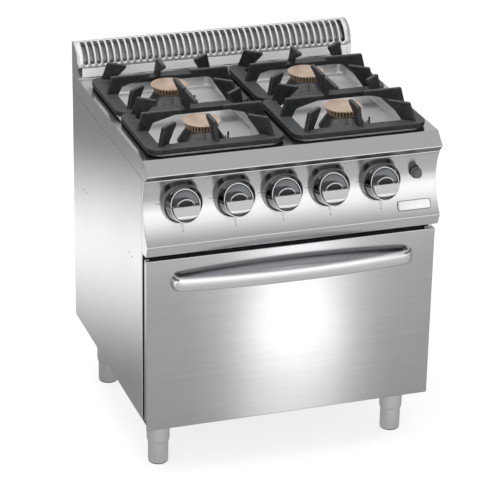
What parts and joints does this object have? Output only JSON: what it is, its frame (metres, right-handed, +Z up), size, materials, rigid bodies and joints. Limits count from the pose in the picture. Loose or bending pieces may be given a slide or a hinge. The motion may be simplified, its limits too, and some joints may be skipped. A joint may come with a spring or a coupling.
{
  "type": "commercial gas range",
  "caption": "Free-standing stainless gas range: open burners under cast-iron pan supports, concave control panel with knobs, slotted flue, gas oven with drop-down door, on adjustable legs.",
  "frame": {"origin": "on the floor, under the middle of the overall box", "axes": "+Z up, front facing -Y, +X to the right of a person facing the front"},
  "size_m": [0.8, 0.766, 0.992],
  "materials": {
    "stainless": "brushed, fine horizontal grain",
    "galvanised_steel": "dull zinc coat",
    "badge_metal": "satin, blank",
    "knob_chrome": "polished with satin grip",
    "rack_chrome": "plated wire, slightly dulled",
    "valve_brass": "machined",
    "grey_plastic": "moulded, matte",
    "burner_iron": "cast, dark, slightly rough",
    "burner_brass": "turned, matte, heat-tinted",
    "cast_iron": "matte black enamel on cast iron",
    "oven_enamel": "baked dark enamel",
    "dark_steel": "heat-darkened",
    "seal_rubber": "matte",
    "leg_steel": "satin, turned"
  },
  "bodies": {
    "cabinet": {"left_side_panel": "stainless", "right_side_panel": "stainless", "back_panel": "galvanised_steel", "base_tray": "galvanised_steel", "worktop": "stainless", "left_spill_well": "stainless", "right_spill_well": "stainless", "flue_grille": "stainless", "flue_duct": "galvanised_steel", "control_panel": "stainless", "badge_plate": "badge_metal", "gas_tap_1": "valve_brass", "gas_tap_2": "valve_brass", "oven_thermostat_valve": "valve_brass", "gas_tap_4": "valve_brass", "gas_tap_5": "valve_brass", "igniter_housing": "grey_plastic", "gas_manifold": "galvanised_steel", "burner_body_front_left": "burner_iron", "burner_body_front_right": "burner_iron", "burner_body_rear_left": "burner_iron", "burner_body_rear_right": "burner_iron", "oven_liner": "oven_enamel", "oven_floor_plate": "cast_iron", "oven_rack": "rack_chrome", "oven_burner": "dark_steel", "door_hinge_left": "dark_steel", "door_hinge_right": "dark_steel", "leg_sleeve_front_left": "leg_steel", "leg_sleeve_front_right": "leg_steel", "leg_sleeve_rear_left": "leg_steel", "leg_sleeve_rear_right": "leg_steel"},
    "oven_door": {"door_outer_panel": "stainless", "door_inner_panel": "oven_enamel", "door_seal": "seal_rubber", "door_handle": "stainless"},
    "stem_1": {"valve_stem_1": "valve_brass"},
    "knob_1": {"knob_1": "knob_chrome"},
    "stem_2": {"valve_stem_2": "valve_brass"},
    "knob_2": {"knob_2": "knob_chrome"},
    "stem_3": {"valve_stem_3": "valve_brass"},
    "knob_3": {"knob_3": "knob_chrome"},
    "stem_4": {"valve_stem_4": "valve_brass"},
    "knob_4": {"knob_4": "knob_chrome"},
    "stem_5": {"valve_stem_5": "valve_brass"},
    "knob_5": {"knob_5": "knob_chrome"},
    "igniter_button": {"igniter_button": "grey_plastic"},
    "pan_support_front_left": {"pan_support_front_left": "cast_iron"},
    "burner_cap_front_left": {"burner_cap_front_left": "burner_brass"},
    "foot_front_left": {"adjustable_foot_front_left": "leg_steel"},
    "pan_support_front_right": {"pan_support_front_right": "cast_iron"},
    "burner_cap_front_right": {"burner_cap_front_right": "burner_brass"},
    "foot_front_right": {"adjustable_foot_front_right": "leg_steel"},
    "pan_support_rear_left": {"pan_support_rear_left": "cast_iron"},
    "burner_cap_rear_left": {"burner_cap_rear_left": "burner_brass"},
    "foot_rear_left": {"adjustable_foot_rear_left": "leg_steel"},
    "pan_support_rear_right": {"pan_support_rear_right": "cast_iron"},
    "burner_cap_rear_right": {"burner_cap_rear_right": "burner_brass"},
    "foot_rear_right": {"adjustable_foot_rear_right": "leg_steel"}
  },
  "joints": [
    {"name": "oven_door_hinge", "type": "hinge", "parent": "cabinet", "child": "oven_door", "pos_m": [0, -0.315, 0.16], "axis": [1, 0, 0], "range_deg": [0, 90], "stiffness_Nm_per_rad": 14, "springref_deg": -11.46},
    {"name": "knob_push_1", "type": "slide", "parent": "cabinet", "child": "stem_1", "axis": [0, 1, 0], "range_m": [0, 0.005], "stiffness_N_per_m": 500, "springref_m": -0.002},
    {"name": "knob_turn_1", "type": "hinge", "parent": "stem_1", "child": "knob_1", "pos_m": [-0.299, -0.34, 0.779], "axis": [0, -1, 0], "range_deg": [0, 200]},
    {"name": "knob_push_2", "type": "slide", "parent": "cabinet", "child": "stem_2", "axis": [0, 1, 0], "range_m": [0, 0.005], "stiffness_N_per_m": 500, "springref_m": -0.002},
    {"name": "knob_turn_2", "type": "hinge", "parent": "stem_2", "child": "knob_2", "pos_m": [-0.158, -0.34, 0.779], "axis": [0, -1, 0], "range_deg": [0, 200]},
    {"name": "knob_push_3", "type": "slide", "parent": "cabinet", "child": "stem_3", "axis": [0, 1, 0], "range_m": [0, 0.005], "stiffness_N_per_m": 500, "springref_m": -0.002},
    {"name": "knob_turn_3", "type": "hinge", "parent": "stem_3", "child": "knob_3", "pos_m": [-0.029, -0.34, 0.779], "axis": [0, -1, 0], "range_deg": [0, 270]},
    {"name": "knob_push_4", "type": "slide", "parent": "cabinet", "child": "stem_4", "axis": [0, 1, 0], "range_m": [0, 0.005], "stiffness_N_per_m": 500, "springref_m": -0.002},
    {"name": "knob_turn_4", "type": "hinge", "parent": "stem_4", "child": "knob_4", "pos_m": [0.1, -0.34, 0.779], "axis": [0, -1, 0], "range_deg": [0, 200]},
    {"name": "knob_push_5", "type": "slide", "parent": "cabinet", "child": "stem_5", "axis": [0, 1, 0], "range_m": [0, 0.005], "stiffness_N_per_m": 500, "springref_m": -0.002},
    {"name": "knob_turn_5", "type": "hinge", "parent": "stem_5", "child": "knob_5", "pos_m": [0.241, -0.34, 0.779], "axis": [0, -1, 0], "range_deg": [0, 200]},
    {"name": "igniter_push", "type": "slide", "parent": "cabinet", "child": "igniter_button", "axis": [0, 1, 0], "range_m": [0, 0.005], "stiffness_N_per_m": 800, "springref_m": -0.002},
    {"name": "pan_support_lift_front_left", "type": "slide", "parent": "cabinet", "child": "pan_support_front_left", "axis": [0, 0, 1], "range_m": [0, 0.1]},
    {"name": "burner_cap_lift_front_left", "type": "slide", "parent": "cabinet", "child": "burner_cap_front_left", "axis": [0, 0, 1], "range_m": [0, 0.018]},
    {"name": "foot_screw_front_left", "type": "slide", "parent": "cabinet", "child": "foot_front_left", "axis": [0, 0, -1], "range_m": [0, 0.05]},
    {"name": "pan_support_lift_front_right", "type": "slide", "parent": "cabinet", "child": "pan_support_front_right", "axis": [0, 0, 1], "range_m": [0, 0.1]},
    {"name": "burner_cap_lift_front_right", "type": "slide", "parent": "cabinet", "child": "burner_cap_front_right", "axis": [0, 0, 1], "range_m": [0, 0.018]},
    {"name": "foot_screw_front_right", "type": "slide", "parent": "cabinet", "child": "foot_front_right", "axis": [0, 0, -1], "range_m": [0, 0.05]},
    {"name": "pan_support_lift_rear_left", "type": "slide", "parent": "cabinet", "child": "pan_support_rear_left", "axis": [0, 0, 1], "range_m": [0, 0.1]},
    {"name": "burner_cap_lift_rear_left", "type": "slide", "parent": "cabinet", "child": "burner_cap_rear_left", "axis": [0, 0, 1], "range_m": [0, 0.018]},
    {"name": "foot_screw_rear_left", "type": "slide", "parent": "cabinet", "child": "foot_rear_left", "axis": [0, 0, -1], "range_m": [0, 0.05]},
    {"name": "pan_support_lift_rear_right", "type": "slide", "parent": "cabinet", "child": "pan_support_rear_right", "axis": [0, 0, 1], "range_m": [0, 0.1]},
    {"name": "burner_cap_lift_rear_right", "type": "slide", "parent": "cabinet", "child": "burner_cap_rear_right", "axis": [0, 0, 1], "range_m": [0, 0.018]},
    {"name": "foot_screw_rear_right", "type": "slide", "parent": "cabinet", "child": "foot_rear_right", "axis": [0, 0, -1], "range_m": [0, 0.05]}
  ]
}
